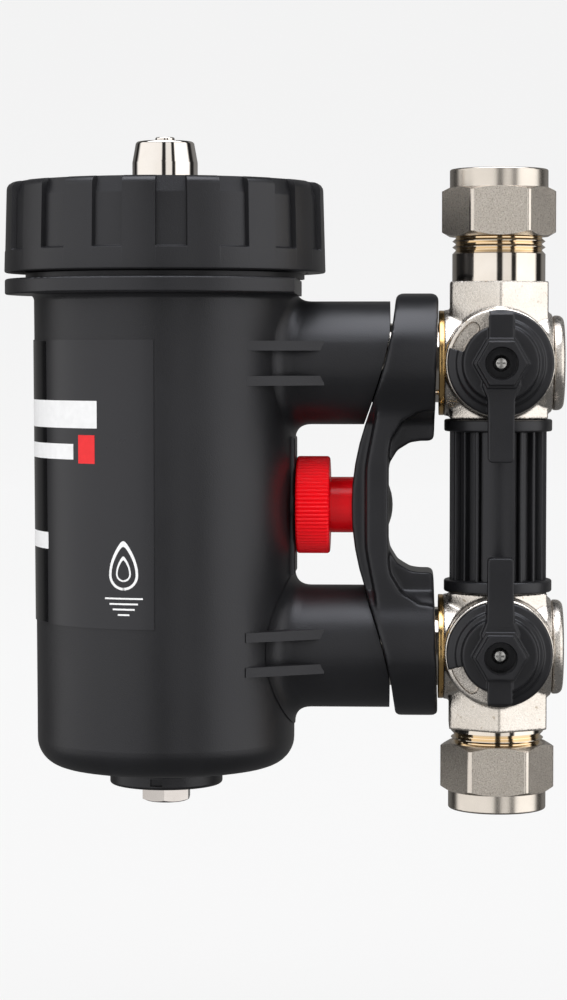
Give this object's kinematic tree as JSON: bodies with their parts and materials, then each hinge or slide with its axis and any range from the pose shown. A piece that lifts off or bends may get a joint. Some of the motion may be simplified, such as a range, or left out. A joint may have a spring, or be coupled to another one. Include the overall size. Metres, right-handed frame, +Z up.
{
  "type": "magnetic system filter",
  "caption": "Magnetic filter for a heating pipe: black screw-lid canister drawn by a red knob on to a bridge and two nickel ball valves with compression nuts and black levers.",
  "frame": {"origin": "on the pipe axis, at the mouth of the lower pipe socket", "axes": "+Z up along the pipe, canister on the -X side, valve levers facing -Y"},
  "size_m": [0.1701, 0.0978, 0.2045],
  "materials": {
    "charcoal_plastic": "satin moulded glass-filled nylon",
    "black_plastic": "satin moulded nylon",
    "label_film": "printed gloss and satin film",
    "red_plastic": "smooth moulded plastic",
    "nickel_brass": "nickel plate, forged and turned",
    "chrome": "bright plated",
    "plain_brass": "turned",
    "steel": "plain stainless steel",
    "magnet": "plated magnet",
    "rubber": "black seal rubber",
    "white_seat": "white fluoropolymer"
  },
  "bodies": {
    "valve_set": {"bridge": "black_plastic", "knob_cap": "black_plastic", "valve_spacer": "black_plastic", "upper_valve_body": "nickel_brass", "upper_ball_seats": "white_seat", "upper_valve_plug": "nickel_brass", "upper_stem_gland": "plain_brass", "upper_spigot_circlip": "steel", "upper_spigot_o_rings": "rubber", "lower_valve_body": "nickel_brass", "lower_ball_seats": "white_seat", "lower_valve_plug": "nickel_brass", "lower_stem_gland": "plain_brass", "lower_spigot_circlip": "steel", "lower_spigot_o_rings": "rubber"},
    "upper_handle_set": {"upper_handle": "black_plastic", "upper_handle_screw": "steel", "upper_stem": "plain_brass", "upper_stem_o_ring": "rubber", "upper_ball": "chrome"},
    "lower_handle_set": {"lower_handle": "black_plastic", "lower_handle_screw": "steel", "lower_stem": "plain_brass", "lower_stem_o_ring": "rubber", "lower_ball": "chrome"},
    "knob_set": {"red_knob": "red_plastic", "knob_thread_insert": "plain_brass", "knob_circlip": "steel"},
    "canister_set": {"canister_body": "charcoal_plastic", "label": "label_film", "captive_stud": "steel", "drain_insert": "plain_brass"},
    "cartridge": {"magnet_sheath": "steel", "magnets": "magnet", "pole_pieces": "steel", "magnet_tie_rod": "steel", "magnet_plug": "steel", "collector_cage": "black_plastic"},
    "lid_seal": {"lid_o_ring": "rubber"},
    "lid_set": {"lid": "charcoal_plastic", "bleed_seat": "plain_brass"},
    "bleed_seal": {"bleed_o_ring": "rubber"},
    "bleed_set": {"bleed_knob": "chrome"},
    "drain_seal": {"drain_o_ring": "rubber"},
    "drain_set": {"drain_plug": "chrome"},
    "upper_olive_set": {"upper_olive": "plain_brass"},
    "upper_nut_set": {"upper_nut": "nickel_brass"},
    "lower_olive_set": {"lower_olive": "plain_brass"},
    "lower_nut_set": {"lower_nut": "nickel_brass"}
  },
  "joints": [
    {"name": "upper_handle_turn", "type": "hinge", "parent": "valve_set", "child": "upper_handle_set", "pos_m": [0, 0, 0.136], "axis": [0, 1, 0], "range_deg": [0, 90]},
    {"name": "lower_handle_turn", "type": "hinge", "parent": "valve_set", "child": "lower_handle_set", "pos_m": [0, 0, 0.0495], "axis": [0, -1, 0], "range_deg": [0, 90]},
    {"name": "knob_turn", "type": "hinge", "parent": "valve_set", "child": "knob_set", "pos_m": [-0.055, 0, 0.09275], "axis": [1, 0, 0], "range_deg": [0, 2641]},
    {"name": "canister_draw", "type": "slide", "parent": "valve_set", "child": "canister_set", "axis": [-1, 0, 0], "range_m": [0, 0.022]},
    {"name": "cartridge_lift", "type": "slide", "parent": "canister_set", "child": "cartridge", "axis": [0, 0, 1], "range_m": [0, 0.16]},
    {"name": "lid_turn", "type": "hinge", "parent": "lid_seal", "child": "lid_set", "pos_m": [-0.1015, 0, 0.175], "axis": [0, 0, 1], "range_deg": [0, 1441]},
    {"name": "lid_rise", "type": "slide", "parent": "cartridge", "child": "lid_seal", "axis": [0, 0, 1], "range_m": [0, 0.016]},
    {"name": "bleed_turn", "type": "hinge", "parent": "bleed_seal", "child": "bleed_set", "pos_m": [-0.1015, 0, 0.195], "axis": [0, 0, 1], "range_deg": [0, 1081]},
    {"name": "bleed_rise", "type": "slide", "parent": "lid_set", "child": "bleed_seal", "axis": [0, 0, 1], "range_m": [0, 0.003]},
    {"name": "drain_turn", "type": "hinge", "parent": "drain_seal", "child": "drain_set", "pos_m": [-0.1015, 0, 0.004], "axis": [0, 0, -1], "range_deg": [0, 3177]},
    {"name": "drain_drop", "type": "slide", "parent": "canister_set", "child": "drain_seal", "axis": [0, 0, -1], "range_m": [0, 0.008]},
    {"name": "upper_nut_turn", "type": "hinge", "parent": "upper_olive_set", "child": "upper_nut_set", "pos_m": [0, 0, 0.184], "axis": [0, 0, 1], "range_deg": [0, 2521]},
    {"name": "upper_nut_rise", "type": "slide", "parent": "valve_set", "child": "upper_olive_set", "axis": [0, 0, 1], "range_m": [0, 0.0126]},
    {"name": "lower_nut_turn", "type": "hinge", "parent": "lower_olive_set", "child": "lower_nut_set", "pos_m": [0, 0, 0.01], "axis": [0, 0, -1], "range_deg": [0, 2521]},
    {"name": "lower_nut_drop", "type": "slide", "parent": "valve_set", "child": "lower_olive_set", "axis": [0, 0, -1], "range_m": [0, 0.0126]}
  ],
  "couplings": [
    {"joint": "knob_turn", "follows": "canister_draw", "rad_per_m": 2094.4},
    {"joint": "lid_turn", "follows": "lid_rise", "rad_per_m": 1570.8},
    {"joint": "bleed_turn", "follows": "bleed_rise", "rad_per_m": 6283.2},
    {"joint": "drain_turn", "follows": "drain_drop", "rad_per_m": 6927.4},
    {"joint": "upper_nut_turn", "follows": "upper_nut_rise", "rad_per_m": 3490.7},
    {"joint": "lower_nut_turn", "follows": "lower_nut_drop", "rad_per_m": 3490.7}
  ]
}
